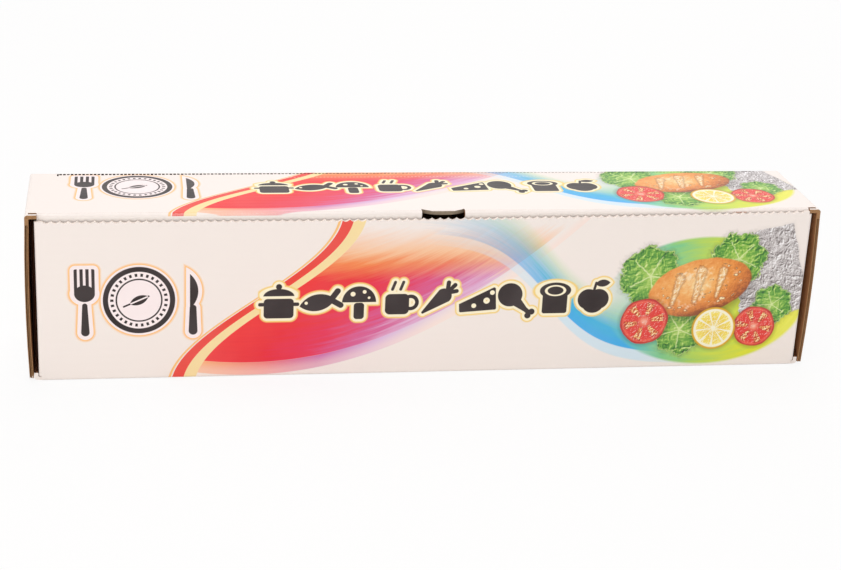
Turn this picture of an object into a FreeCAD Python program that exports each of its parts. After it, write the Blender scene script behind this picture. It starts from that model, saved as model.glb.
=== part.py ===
import FreeCAD, Part
import math
import os

# A roll of aluminium foil in its dispenser carton of thin corrugated board, lying on its long side.
# Millimetres. X runs along the roll, -Y is the front of the carton, Z is up.
# The origin is the middle of the footprint, on the surface that the carton stands on.

# Foil and core
foil_width = 300.0
roll_diameter = 46.0
core_diameter = 31.0
core_wall = 1.5
core_overhang = 0.5
core_fit = 0.05
foil_edge_step = 0.3
foil_edge_angle = 62.0
ring_pitch = 1.5
ring_depth = 0.25
rest_gap = 0.05

# Board and clearances
board = 1.5
fold_radius = 1.2
roll_end_play = 1.0
roll_side_play = 1.25
lid_play = 0.3
ply_gap = 0.2

# Carton, over its outer faces
carton_height = 67.5

# Scalloped top edge of the front panel, measured down from the lid's upper face
reveal_left = 2.9
reveal_right = 0.9
reveal_turn = -50.0
scallop_pitch = 3.2
scallop_height = 0.8
scallop_sides = 8
scallop_margin = 3.0

# Flaps folded in from the front and back panels
dust_flap_length = 22.0
dust_flap_drop = 5.0
dust_flap_lift = 0.5
dust_flap_corner = 6.0

# Flaps folded up from the bottom panel
inner_flap_inset = 1.0
inner_flap_setback = 6.0
inner_flap_root = 3.0
inner_flap_drop = 0.5
inner_flap_corner = 5.0

# Flaps folded down from the lid
outer_flap_lift = 1.0
outer_flap_bow = 0.7
outer_flap_front = 0.6
outer_flap_back = 0.4
outer_flap_root = 3.0

# Slits at the lid's two front corners
corner_slit_length = 3.1
corner_slit_width = 1.5
corner_web = 1.3

# Tuck flap and its thumb notch
tuck_length = 15.0
tuck_spare_lean = 0.6
tuck_shoulder = 3.9
tuck_shoulder_step = 0.8
tuck_corner = 6.0
notch_offset = 3.0
notch_width = 17.0
notch_taper = 1.2
notch_ear = 3.0
notch_depth = 9.0
notch_corner = 5.0

# Over-length of a cutting solid past the faces that it cuts
past = 2.0

# Places that follow from the sizes above
carton_depth = roll_diameter + 2 * (roll_side_play + board)
inner_length = foil_width + 2 * roll_end_play
tray_x = inner_length / 2 + board
inner_flap_x = tray_x + ply_gap + board
lid_x = inner_flap_x + lid_play + board
front_y = -carton_depth / 2
back_y = carton_depth / 2
front_inner_y = front_y + board
lid_top = carton_height
lid_under = carton_height - board
lid_fold_y = front_inner_y + lid_play
tray_top = lid_under - lid_play
tuck_x = inner_length / 2 - lid_play
tuck_shoulder_x = tuck_x + tuck_shoulder_step
tuck_reach = back_y - lid_fold_y
tuck_lean = math.asin(tuck_length / (2 * tuck_reach)) + math.radians(tuck_spare_lean)
roll_radius = roll_diameter / 2
roll_axis_z = board + rest_gap + roll_radius


def in_yz(x):
    return lambda u, v: FreeCAD.Vector(x, u, v)


def in_xz(y):
    return lambda u, v: FreeCAD.Vector(u, y, v)


def in_xy(z):
    return lambda u, v: FreeCAD.Vector(u, v, z)


def rounded_corner(before, corner, after, radius):
    """Start, middle and end of the arc that rounds a corner of an outline."""
    u, v = corner
    to_before = (before[0] - u, before[1] - v)
    to_after = (after[0] - u, after[1] - v)
    length_before = math.hypot(*to_before)
    length_after = math.hypot(*to_after)
    a = (to_before[0] / length_before, to_before[1] / length_before)
    b = (to_after[0] / length_after, to_after[1] / length_after)
    half_angle = math.acos(max(-1.0, min(1.0, a[0] * b[0] + a[1] * b[1]))) / 2
    reach = radius / math.tan(half_angle)
    middle_reach = radius / math.sin(half_angle) - radius
    bisector = (a[0] + b[0], a[1] + b[1])
    bisector_length = math.hypot(*bisector)
    start = (u + a[0] * reach, v + a[1] * reach)
    middle = (u + bisector[0] / bisector_length * middle_reach, v + bisector[1] / bisector_length * middle_reach)
    end = (u + b[0] * reach, v + b[1] * reach)
    return start, middle, end


def outline_face(corners, place):
    """A flat face from corners (u, v) or (u, v, radius), in order round the outline."""
    pieces = []
    for index, corner in enumerate(corners):
        here = corner[:2]
        radius = corner[2] if len(corner) > 2 else 0.0
        if radius > 0:
            before = corners[index - 1][:2]
            after = corners[(index + 1) % len(corners)][:2]
            pieces.append(rounded_corner(before, here, after, radius))
        else:
            pieces.append((here,))
    edges = []
    for index, piece in enumerate(pieces):
        if len(piece) == 3:
            edges.append(Part.Arc(*[place(*point) for point in piece]).toShape())
        start = place(*piece[-1])
        end = place(*pieces[(index + 1) % len(pieces)][0])
        edges.append(Part.LineSegment(start, end).toShape())
    return Part.Face(Part.Wire(edges))


def box(x_range, y_range, z_range):
    low = FreeCAD.Vector(x_range[0], y_range[0], z_range[0])
    return Part.makeBox(x_range[1] - x_range[0], y_range[1] - y_range[0], z_range[1] - z_range[0], low)


def along_x(corners, x_from, x_to):
    return outline_face(corners, in_yz(x_from)).extrude(FreeCAD.Vector(x_to - x_from, 0, 0))


def along_y(corners, y_from, y_to):
    return outline_face(corners, in_xz(y_from)).extrude(FreeCAD.Vector(0, y_to - y_from, 0))


def along_z(corners, z_from, z_to):
    return outline_face(corners, in_xy(z_from)).extrude(FreeCAD.Vector(0, 0, z_to - z_from))


def both_ends(solid):
    """The solid and its mirror image at the carton's other end."""
    return [solid, solid.mirror(FreeCAD.Vector(0, 0, 0), FreeCAD.Vector(1, 0, 0))]


def one_sheet(pieces):
    """Panels and flaps of one folded sheet, fused into a single solid."""
    return pieces[0].multiFuse(pieces[1:]).removeSplitter()


# Tray: front, bottom and back panels in one wrap, with the flaps that close its two ends

def tray_wrap():
    wrap_x = tray_x - fold_radius
    corners = [
        (front_y, lid_top),
        (front_y, 0, fold_radius),
        (back_y, 0, fold_radius),
        (back_y, tray_top),
        (back_y - board, tray_top),
        (back_y - board, board),
        (front_inner_y, board),
        (front_inner_y, lid_top),
    ]
    return along_x(corners, -wrap_x, wrap_x)


def side_panel_with_flaps(outer_y, inward, top_z):
    """A long panel and the two flaps folded in from its ends, seen from above as a C."""
    inner_y = outer_y + inward * board
    tip_y = outer_y + inward * dust_flap_length
    corners = [
        (-tray_x, tip_y),
        (-tray_x, outer_y, fold_radius),
        (tray_x, outer_y, fold_radius),
        (tray_x, tip_y),
        (tray_x - board, tip_y),
        (tray_x - board, inner_y),
        (-tray_x + board, inner_y),
        (-tray_x + board, tip_y),
    ]
    panel = along_z(corners, board + dust_flap_lift, top_z)
    flap_top = lid_top - dust_flap_drop
    trim_corners = [
        (inner_y, top_z + past),
        (inner_y, flap_top),
        (tip_y - inward * dust_flap_corner, flap_top),
        (tip_y + inward * past, flap_top - dust_flap_corner - past),
        (tip_y + inward * past, top_z + past),
    ]
    trim = along_x(trim_corners, tray_x - board - ply_gap, tray_x + past)
    return panel.cut(both_ends(trim))


def bottom_panel_with_flaps():
    """The bottom panel and the two flaps folded up from its ends, outside the tray's own folds."""
    flap_top = lid_under - inner_flap_drop
    corners = [
        (-inner_flap_x, flap_top),
        (-inner_flap_x, 0, fold_radius),
        (inner_flap_x, 0, fold_radius),
        (inner_flap_x, flap_top),
        (inner_flap_x - board, flap_top),
        (inner_flap_x - board, board),
        (-inner_flap_x + board, board),
        (-inner_flap_x + board, flap_top),
    ]
    half_width = carton_depth / 2 - inner_flap_inset
    panel = along_y(corners, -half_width, half_width)
    narrow = carton_depth / 2 - inner_flap_setback
    taper_top = inner_flap_root + inner_flap_setback - inner_flap_inset
    flap_outline = [
        (-half_width, -past),
        (-half_width, inner_flap_root),
        (-narrow, taper_top),
        (-narrow, flap_top, inner_flap_corner),
        (narrow, flap_top, inner_flap_corner),
        (narrow, taper_top),
        (half_width, inner_flap_root),
        (half_width, -past),
    ]
    return panel.common(along_x(flap_outline, -inner_flap_x - past, inner_flap_x + past))


def edge_height(x):
    """Height of the front panel's scalloped edge, level at the left and rising to the right."""
    rise = max(0.0, x - reveal_turn) / (tray_x - reveal_turn)
    return lid_top - reveal_left + (reveal_left - reveal_right) * rise ** 2


def waste_above_scallops():
    """What the die cuts off above the front panel's edge: a row of round cups between sharp points."""
    run = 2 * (tray_x - scallop_margin)
    scallops = round(run / scallop_pitch)
    count = scallops * scallop_sides
    point_rise = scallop_height / 2
    corners = [(-tray_x - past, edge_height(-run / 2) + point_rise)]
    for index in range(count + 1):
        x = -run / 2 + index * run / count
        cup = abs(math.sin(math.pi * index / scallop_sides))
        corners.append((x, edge_height(x) + point_rise - scallop_height * cup))
    corners.append((tray_x + past, edge_height(run / 2) + point_rise))
    corners.append((tray_x + past, lid_top + past))
    corners.append((-tray_x - past, lid_top + past))
    return along_y(corners, front_y - past, front_inner_y + lid_play / 2)


def front_corner_relief():
    """Room at the front panel's top corners for the lid's corner webs."""
    x_range = (tuck_shoulder_x - lid_play, tray_x + past)
    y_range = (front_y - past, front_inner_y)
    return both_ends(box(x_range, y_range, (tray_top, lid_top + past)))


def carton_body():
    front = side_panel_with_flaps(front_y, 1, lid_top)
    back = side_panel_with_flaps(back_y, -1, tray_top)
    sheet = one_sheet([tray_wrap(), front, back, bottom_panel_with_flaps()])
    return sheet.cut([waste_above_scallops()] + front_corner_relief())


# Lid: top panel, an outer flap over each end and the tuck flap along the front

def lid_cap():
    """The top panel and the two short legs where its end flaps turn down."""
    leg_end = lid_top - outer_flap_root
    corners = [
        (-lid_x, leg_end),
        (-lid_x, lid_top, fold_radius),
        (lid_x, lid_top, fold_radius),
        (lid_x, leg_end),
        (lid_x - board, leg_end),
        (lid_x - board, lid_under),
        (-lid_x + board, lid_under),
        (-lid_x + board, leg_end),
    ]
    cap = along_y(corners, front_y + outer_flap_front, back_y)
    front_margin = box((-tuck_shoulder_x, tuck_shoulder_x), (front_y - past, lid_fold_y + fold_radius),
                       (lid_under - past, lid_top + past))
    back_margin = box((-lid_x - past, lid_x + past), (back_y - outer_flap_back, back_y + past),
                      (leg_end - past, lid_under))
    crease_edge = box((-lid_x - past, lid_x + past), (back_y - fold_radius, back_y + past),
                      (lid_top - fold_radius, lid_top + past))
    crease_round = Part.makeCylinder(fold_radius, 2 * (lid_x + past),
                                     FreeCAD.Vector(-lid_x - past, back_y - fold_radius, lid_top - fold_radius),
                                     FreeCAD.Vector(1, 0, 0))
    return cap.cut([front_margin, back_margin, crease_edge.cut(crease_round)])


def outer_end_flap():
    """The flap that hangs over the right end, bowed a little outwards between its fold and its edge."""
    top = lid_top - outer_flap_root
    bottom = outer_flap_lift
    middle = (top + bottom) / 2
    place = in_xz(front_y + outer_flap_front)
    outer = Part.Arc(place(lid_x, top), place(lid_x + outer_flap_bow, middle), place(lid_x, bottom))
    inner_x = lid_x - board
    inner = Part.Arc(place(inner_x, bottom), place(inner_x + outer_flap_bow, middle), place(inner_x, top))
    edges = [
        outer.toShape(),
        Part.LineSegment(place(lid_x, bottom), place(inner_x, bottom)).toShape(),
        inner.toShape(),
        Part.LineSegment(place(inner_x, top), place(lid_x, top)).toShape(),
    ]
    width = carton_depth - outer_flap_front - outer_flap_back
    return Part.Face(Part.Wire(edges)).extrude(FreeCAD.Vector(0, width, 0))


def corner_slit():
    """The slit beside the right end of the tuck flap, behind a narrow web of board."""
    front = front_y + outer_flap_front + corner_web
    x_range = (tuck_shoulder_x, tuck_shoulder_x + corner_slit_length)
    return box(x_range, (front, front + corner_slit_width), (lid_under - past, lid_top + past))


def tuck_flap():
    """The flap that tucks behind the front panel, leaning inwards so that it swings clear of it."""
    along = (math.sin(tuck_lean), -math.cos(tuck_lean))
    across = (math.cos(tuck_lean), math.sin(tuck_lean))
    tip = (lid_fold_y + tuck_length * along[0], lid_top + tuck_length * along[1])
    inner_tip = (tip[0] + board * across[0], tip[1] + board * across[1])
    inner_root_y = inner_tip[0] - (lid_under - inner_tip[1]) * math.tan(tuck_lean)
    section = [
        (lid_fold_y, lid_top, fold_radius),
        tip,
        inner_tip,
        (inner_root_y, lid_under),
        (inner_root_y + board, lid_under),
        (inner_root_y + board, lid_top),
    ]
    flap = along_x(section, -tuck_shoulder_x, tuck_shoulder_x)
    shoulder_z = lid_top - tuck_shoulder
    narrow_z = shoulder_z - tuck_shoulder_step
    low_z = tip[1]
    front_outline = [
        (-tuck_shoulder_x, lid_top + past),
        (-tuck_shoulder_x, shoulder_z),
        (-tuck_x, narrow_z),
        (-tuck_x, low_z, tuck_corner),
        (tuck_x, low_z, tuck_corner),
        (tuck_x, narrow_z),
        (tuck_shoulder_x, shoulder_z),
        (tuck_shoulder_x, lid_top + past),
    ]
    return flap.common(along_y(front_outline, front_y, front_y + tuck_length))


def thumb_notch():
    """The opening in the tuck flap, under a tongue that the top panel keeps."""
    half = notch_width / 2
    low_half = half - notch_taper
    ear_y = lid_fold_y + notch_ear
    place = in_xy(lid_under - past)
    left = place(notch_offset - half, ear_y)
    right = place(notch_offset + half, ear_y)
    front_right = place(notch_offset + half, front_y)
    front_left = place(notch_offset - half, front_y)
    edges = [
        Part.Arc(left, place(notch_offset, lid_fold_y), right).toShape(),
        Part.LineSegment(right, front_right).toShape(),
        Part.LineSegment(front_right, front_left).toShape(),
        Part.LineSegment(front_left, left).toShape(),
    ]
    in_top_panel = Part.Face(Part.Wire(edges)).extrude(FreeCAD.Vector(0, 0, board + 2 * past))
    low_z = lid_top - notch_depth
    flap_outline = [
        (notch_offset - half, lid_under),
        (notch_offset - low_half, low_z, notch_corner),
        (notch_offset + low_half, low_z, notch_corner),
        (notch_offset + half, lid_under),
    ]
    in_flap = along_y(flap_outline, front_y, front_y + tuck_length)
    return [in_top_panel, in_flap]


def carton_lid():
    sheet = one_sheet([lid_cap(), tuck_flap()] + both_ends(outer_end_flap()))
    return sheet.cut(thumb_notch() + both_ends(corner_slit()))


# Roll: the foil's turns as one solid, with the step of its free edge, on a paper core

def foil_roll():
    step = foil_edge_step
    place = in_yz(-foil_width / 2)
    near = Part.Arc(place(roll_radius, 0), place(0, roll_radius), place(-roll_radius, 0))
    far_radius = roll_radius + step / 2
    far = Part.Arc(place(-roll_radius, 0), place(step / 2, -far_radius), place(roll_radius + step, 0))
    edge = Part.LineSegment(place(roll_radius + step, 0), place(roll_radius, 0))
    turns = Part.Face(Part.Wire([near.toShape(), far.toShape(), edge.toShape()]))
    roll = turns.extrude(FreeCAD.Vector(foil_width, 0, 0))
    bore_radius = core_diameter / 2 + core_fit
    axis_start = FreeCAD.Vector(-foil_width / 2 - past, 0, 0)
    x_axis = FreeCAD.Vector(1, 0, 0)
    bore = Part.makeCylinder(bore_radius, foil_width + 2 * past, axis_start, x_axis)
    roll = roll.cut([bore] + turn_grooves(bore_radius))
    roll.rotate(FreeCAD.Vector(0, 0, 0), x_axis, 180 - foil_edge_angle)
    roll.translate(FreeCAD.Vector(0, 0, roll_axis_z))
    return roll


def turn_grooves(bore_radius):
    """Shallow rings in the roll's end faces, where groups of turns stand back from the others."""
    grooves = []
    count = int((roll_radius - bore_radius) / ring_pitch)
    for index in range(count):
        inner = bore_radius + (index + 0.5) * ring_pitch
        outer = inner + ring_pitch / 3
        start = FreeCAD.Vector(foil_width / 2 - ring_depth, 0, 0)
        x_axis = FreeCAD.Vector(1, 0, 0)
        disc = Part.makeCylinder(outer, ring_depth + past, start, x_axis)
        ring = disc.cut(Part.makeCylinder(inner, ring_depth + past, start, x_axis))
        grooves.extend(both_ends(ring))
    return grooves


def core_tube():
    length = foil_width + 2 * core_overhang
    start = FreeCAD.Vector(-length / 2, 0, roll_axis_z)
    x_axis = FreeCAD.Vector(1, 0, 0)
    outer = Part.makeCylinder(core_diameter / 2, length, start, x_axis)
    return outer.cut(Part.makeCylinder(core_diameter / 2 - core_wall, length, start, x_axis))


nodes = {
    "carton_body": carton_body(),
    "carton_lid": carton_lid(),
    "foil_roll": foil_roll(),
    "core_tube": core_tube(),
}

os.makedirs("parts", exist_ok=True)
for name, shape in nodes.items():
    shape.exportStep("parts/" + name + ".step")
    print(name, "solids", len(shape.Solids), "volume", round(shape.Volume, 1), "valid", shape.isValid())
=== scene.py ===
import math
import bpy
from mathutils import Matrix, Vector


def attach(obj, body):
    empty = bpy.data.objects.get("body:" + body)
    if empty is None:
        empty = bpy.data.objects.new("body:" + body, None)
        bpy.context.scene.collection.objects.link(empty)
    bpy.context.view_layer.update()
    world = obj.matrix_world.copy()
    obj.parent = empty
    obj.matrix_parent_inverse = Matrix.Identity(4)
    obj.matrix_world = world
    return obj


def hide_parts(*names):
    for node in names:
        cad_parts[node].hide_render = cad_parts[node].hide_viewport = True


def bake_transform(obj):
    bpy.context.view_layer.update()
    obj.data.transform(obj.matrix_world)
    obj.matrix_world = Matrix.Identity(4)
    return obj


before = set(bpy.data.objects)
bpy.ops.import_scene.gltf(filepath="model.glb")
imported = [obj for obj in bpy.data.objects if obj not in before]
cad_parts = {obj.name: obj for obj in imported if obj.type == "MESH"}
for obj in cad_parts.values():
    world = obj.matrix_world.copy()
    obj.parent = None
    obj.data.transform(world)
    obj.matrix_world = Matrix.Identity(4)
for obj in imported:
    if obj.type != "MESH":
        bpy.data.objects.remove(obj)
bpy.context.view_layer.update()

# Studio. A white table and a white surround, with three large soft boxes and the room's even light.
# The camera stands in front of the carton, a little to its left, and looks down on it.
scene = bpy.context.scene
scene.view_settings.view_transform = "Standard"

world = bpy.data.worlds.new("white_room")
scene.world = world
world.use_nodes = True
room = world.node_tree
room_light = room.nodes["Background"]
room_light.inputs["Color"].default_value = (1.0, 0.985, 0.965, 1.0)
room_light.inputs["Strength"].default_value = 0.47
white_surround = room.nodes.new("ShaderNodeBackground")
white_surround.inputs["Color"].default_value = (1.0, 1.0, 1.0, 1.0)
white_surround.inputs["Strength"].default_value = 1.0
room_rays = room.nodes.new("ShaderNodeLightPath")
seen_share = room_rays.outputs["Is Camera Ray"]
for ray in ("Is Glossy Ray", "Is Transmission Ray"):
    larger = room.nodes.new("ShaderNodeMath")
    larger.operation = "MAXIMUM"
    room.links.new(seen_share, larger.inputs[0])
    room.links.new(room_rays.outputs[ray], larger.inputs[1])
    seen_share = larger.outputs[0]
room_choice = room.nodes.new("ShaderNodeMixShader")
room.links.new(seen_share, room_choice.inputs["Fac"])
room.links.new(room_light.outputs[0], room_choice.inputs[1])
room.links.new(white_surround.outputs[0], room_choice.inputs[2])
room.links.new(room_choice.outputs[0], room.nodes["World Output"].inputs["Surface"])

bpy.ops.object.select_all(action="DESELECT")
bpy.ops.mesh.primitive_plane_add(size=6.0, location=(0.0, 0.0, 0.0))
table = bpy.context.active_object
table.name = "table"
table_white = bpy.data.materials.new("table_white")
table_white.use_nodes = True
table_tree = table_white.node_tree
table_surface = table_tree.nodes["Principled BSDF"]
table_surface.inputs["Base Color"].default_value = (0.93, 0.92, 0.91, 1.0)
table_surface.inputs["Roughness"].default_value = 0.9
table_surface.inputs["Specular IOR Level"].default_value = 0.1
table_glow = table_tree.nodes.new("ShaderNodeEmission")
table_glow.inputs["Strength"].default_value = 1.0
glow_share = table_tree.nodes.new("ShaderNodeMath")
glow_share.operation = "MULTIPLY"
glow_share.inputs[1].default_value = 0.86
table_rays = table_tree.nodes.new("ShaderNodeLightPath")
table_mix = table_tree.nodes.new("ShaderNodeMixShader")
table_tree.links.new(table_rays.outputs["Is Camera Ray"], glow_share.inputs[0])
table_tree.links.new(glow_share.outputs[0], table_mix.inputs["Fac"])
table_tree.links.new(table_surface.outputs[0], table_mix.inputs[1])
table_tree.links.new(table_glow.outputs[0], table_mix.inputs[2])
table_tree.links.new(table_mix.outputs[0], table_tree.nodes["Material Output"].inputs["Surface"])
table.data.materials.append(table_white)


def soft_box(name, place, width, height, watts, colour):
    """A large rectangular lamp that faces the middle of the carton."""
    lamp = bpy.data.lights.new(name, "AREA")
    lamp.shape = "RECTANGLE"
    lamp.size = width
    lamp.size_y = height
    lamp.energy = watts
    lamp.color = colour
    stand = bpy.data.objects.new(name, lamp)
    scene.collection.objects.link(stand)
    stand.location = place
    carton_middle = Vector((0.0, 0.0, 0.03))
    stand.rotation_euler = (carton_middle - Vector(place)).to_track_quat("-Z", "Y").to_euler()


soft_box("overhead_box", (-0.15, 0.05, 1.35), 1.6, 1.1, 9.2, (1.0, 0.955, 0.965))
soft_box("front_box", (-0.55, -1.25, 0.65), 1.3, 0.9, 6.9, (1.0, 0.975, 0.96))
soft_box("back_box", (0.5, 1.2, 0.9), 1.2, 0.9, 4.5, (1.0, 0.99, 0.98))

CAMERA_PLACE = (-0.1185, -0.6715, 0.2950)
FOCAL_PIXELS = 1799.0
PHOTO_WIDTH = 841.0
SENSOR_WIDTH = 36.0
camera_yaw = math.radians(9.96)
camera_pitch = math.radians(21.43)
camera_roll = math.radians(2.86)
ahead = Vector((math.sin(camera_yaw) * math.cos(camera_pitch),
                math.cos(camera_yaw) * math.cos(camera_pitch), -math.sin(camera_pitch)))
level_right = Vector((math.cos(camera_yaw), -math.sin(camera_yaw), 0.0))
level_up = level_right.cross(ahead)
frame_right = math.cos(camera_roll) * level_right + math.sin(camera_roll) * level_up
frame_up = math.cos(camera_roll) * level_up - math.sin(camera_roll) * level_right
camera_data = bpy.data.cameras.new("camera")
camera_data.sensor_fit = "HORIZONTAL"
camera_data.sensor_width = SENSOR_WIDTH
camera_data.lens = FOCAL_PIXELS / PHOTO_WIDTH * SENSOR_WIDTH
camera = bpy.data.objects.new("camera", camera_data)
scene.collection.objects.link(camera)
camera_turn = Matrix((frame_right, frame_up, -ahead)).transposed()
camera.matrix_world = Matrix.Translation(CAMERA_PLACE) @ camera_turn.to_4x4()
scene.camera = camera

# Tray of the carton. One die-cut sheet of thin corrugated board: a white printed liner outside, brown
# kraft paper inside, and a fluted sheet glued between them. It is folded into the front, bottom and back
# panels, with dust flaps turned in from the long panels and an inner flap turned up at each end.
MM = 0.001
BOARD = 1.5
LINER = 0.3
FLUTE_PITCH = 3.3
FRONT = -25.75
BACK = 25.75
TRAY_END = 152.5
INNER_FLAP_END = 154.2
FOLD_ZONE = 1.21
SMOOTH_BELOW = math.radians(28)


def ink(red, green, blue):
    """A printed colour from its 0-255 values, as the linear colour that a shader takes."""
    def linear(value):
        value = value / 255.0
        return value / 12.92 if value <= 0.04045 else ((value + 0.055) / 1.055) ** 2.4
    return (linear(red), linear(green), linear(blue), 1.0)


class Field:
    """A value that changes over the printed sheet, with the arithmetic that the artwork is drawn with."""
    sheet = None

    def __init__(self, socket):
        self.socket = socket

    def __add__(self, other):
        return worked("ADD", self, other)

    __radd__ = __add__

    def __sub__(self, other):
        return worked("SUBTRACT", self, other)

    def __rsub__(self, other):
        return worked("SUBTRACT", other, self)

    def __mul__(self, other):
        return worked("MULTIPLY", self, other)

    __rmul__ = __mul__

    def __truediv__(self, other):
        return worked("DIVIDE", self, other)

    def __neg__(self):
        return worked("MULTIPLY", self, -1.0)

    def __abs__(self):
        return worked("ABSOLUTE", self)


def feed(node, index, value):
    """Give a node's input a field or a plain value."""
    if isinstance(value, Field):
        Field.sheet.links.new(value.socket, node.inputs[index])
    else:
        node.inputs[index].default_value = value


def worked(operation, *values, held=False):
    """One step of arithmetic, held between 0 and 1 if asked."""
    node = Field.sheet.nodes.new("ShaderNodeMath")
    node.operation = operation
    node.use_clamp = held
    for index, value in enumerate(values):
        feed(node, index, value)
    return Field(node.outputs[0])


def placed(operation, *values):
    """Vector arithmetic on places on the sheet."""
    node = Field.sheet.nodes.new("ShaderNodeVectorMath")
    node.operation = operation
    for index, value in enumerate(values):
        feed(node, index, value)
    return Field(node.outputs["Value" if operation in ("LENGTH", "DISTANCE", "DOT_PRODUCT") else "Vector"])


def joined(*shapes):
    """Shapes laid together. A shape is a distance in millimetres, negative inside it."""
    total = shapes[0]
    for shape in shapes[1:]:
        total = worked("MINIMUM", total, shape)
    return total


def common(*shapes):
    """The part that all the shapes share."""
    total = shapes[0]
    for shape in shapes[1:]:
        total = worked("MAXIMUM", total, shape)
    return total


def inside(shape, softness=0.12):
    """1 inside a shape and 0 outside it, with an edge this many millimetres soft."""
    return worked("MULTIPLY_ADD", shape, -1.0 / softness, 0.5, held=True)


def overprint(under, over, cover):
    """One ink over another, as far as the cover from 0 to 1 lets it."""
    node = Field.sheet.nodes.new("ShaderNodeMix")
    node.data_type = "RGBA"
    feed(node, 0, cover)
    feed(node, 6, under)
    feed(node, 7, over)
    return Field(node.outputs[2])


def shades(value, *stops):
    """A run of inks over a value from 0 to 1."""
    node = Field.sheet.nodes.new("ShaderNodeValToRGB")
    feed(node, 0, value)
    marks = node.color_ramp.elements
    while len(marks) < len(stops):
        marks.new(0.5)
    for mark, (position, colour) in zip(marks, stops):
        mark.position = position
        mark.color = colour
    return Field(node.outputs["Color"])


def cloudiness(place, scale, detail=3.0, roughness=0.55, distortion=0.0):
    node = Field.sheet.nodes.new("ShaderNodeTexNoise")
    feed(node, "Vector", place)
    node.inputs["Scale"].default_value = scale
    node.inputs["Detail"].default_value = detail
    node.inputs["Roughness"].default_value = roughness
    node.inputs["Distortion"].default_value = distortion
    return Field(node.outputs["Fac"])


def axes_of(place):
    """The three parts of a place."""
    node = Field.sheet.nodes.new("ShaderNodeSeparateXYZ")
    feed(node, 0, place)
    return [Field(output) for output in node.outputs]


def point(x, y, z=0.0):
    """A place from its parts."""
    node = Field.sheet.nodes.new("ShaderNodeCombineXYZ")
    for index, value in enumerate((x, y, z)):
        feed(node, index, value)
    return Field(node.outputs[0])


def about(place, x, y, angle=0.0, size=1.0):
    """The place measured from a motif's own middle, turned by degrees and sized."""
    node = Field.sheet.nodes.new("ShaderNodeMapping")
    node.vector_type = "TEXTURE"
    feed(node, 0, place)
    node.inputs["Location"].default_value = (x, y, 0.0)
    node.inputs["Rotation"].default_value = (0.0, 0.0, math.radians(angle))
    node.inputs["Scale"].default_value = (size, size, 1.0)
    return Field(node.outputs[0])


def disc(place, x, y, radius):
    return placed("DISTANCE", place, (x, y, 0.0)) - radius


def oval(place, x, y, half_width, half_height):
    scaled = placed("MULTIPLY_ADD", place, (1 / half_width, 1 / half_height, 0.0),
                    (-x / half_width, -y / half_height, 0.0))
    least = min(half_width, half_height)
    return worked("MULTIPLY_ADD", placed("LENGTH", scaled), least, -least)


def bar(place, x, y, half_width, half_height, corner):
    """A rectangle with round corners."""
    edge = placed("SUBTRACT", placed("ABSOLUTE", placed("SUBTRACT", place, (x, y, 0.0))),
                  (half_width - corner, half_height - corner, 0.0))
    return placed("LENGTH", placed("MAXIMUM", edge, (0.0, 0.0, 0.0))) - corner


def stroke(place, x0, y0, x1, y1, radius, end_radius=None):
    """A line with round ends, which may taper to another radius."""
    run = (x1 - x0, y1 - y0)
    square = run[0] ** 2 + run[1] ** 2
    start = placed("SUBTRACT", place, (x0, y0, 0.0))
    part = worked("ADD", placed("DOT_PRODUCT", start, (run[0] / square, run[1] / square, 0.0)), 0.0, held=True)
    node = Field.sheet.nodes.new("ShaderNodeVectorMath")
    node.operation = "SCALE"
    node.inputs[0].default_value = (run[0], run[1], 0.0)
    Field.sheet.links.new(part.socket, node.inputs["Scale"])
    away = placed("DISTANCE", start, Field(node.outputs["Vector"]))
    if end_radius is None:
        return away - radius
    return away - worked("MULTIPLY_ADD", part, end_radius - radius, radius)


def rising(value, middle, width, low, high):
    """A smooth step from low to high as the value passes its middle."""
    turn = worked("TANH", worked("MULTIPLY_ADD", value, 1 / width, -middle / width))
    return worked("MULTIPLY_ADD", turn, (high - low) / 2, (high + low) / 2)


WHITE_STOCK = ink(246, 238, 232)
DARK_BROWN = ink(22, 8, 6)
CREAM = ink(250, 226, 165)

artwork = bpy.data.node_groups.new("carton_artwork", "ShaderNodeTree")
artwork.interface.new_socket("Place", in_out="INPUT", socket_type="NodeSocketVector")
artwork.interface.new_socket("Colour", in_out="OUTPUT", socket_type="NodeSocketColor")
Field.sheet = artwork
artwork_in = artwork.nodes.new("NodeGroupInput")
artwork_out = artwork.nodes.new("NodeGroupOutput")
spot = Field(artwork_in.outputs["Place"])
across, up = axes_of(spot)[:2]

# A red field that fades to lilac, over a ribbon that climbs to the right, and a cool band that falls to it.
ribbon = worked("MULTIPLY_ADD", worked("SINE", worked("MULTIPLY_ADD", up, 0.0435, -1.4)), 33.0, -60.0)
side = across - ribbon
RED_FIELD_WIDTH = 98.0
from_left = across + 72.0
rise = up - 6.0 - from_left * from_left * 0.0036


def streaks(flow, along, closeness):
    """Long soft streaks that follow a flow, from about -0.5 to 0.5."""
    return cloudiness(point(flow * closeness, along * 0.03), 1.0, 3.0, 0.65) - 0.5


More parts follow.
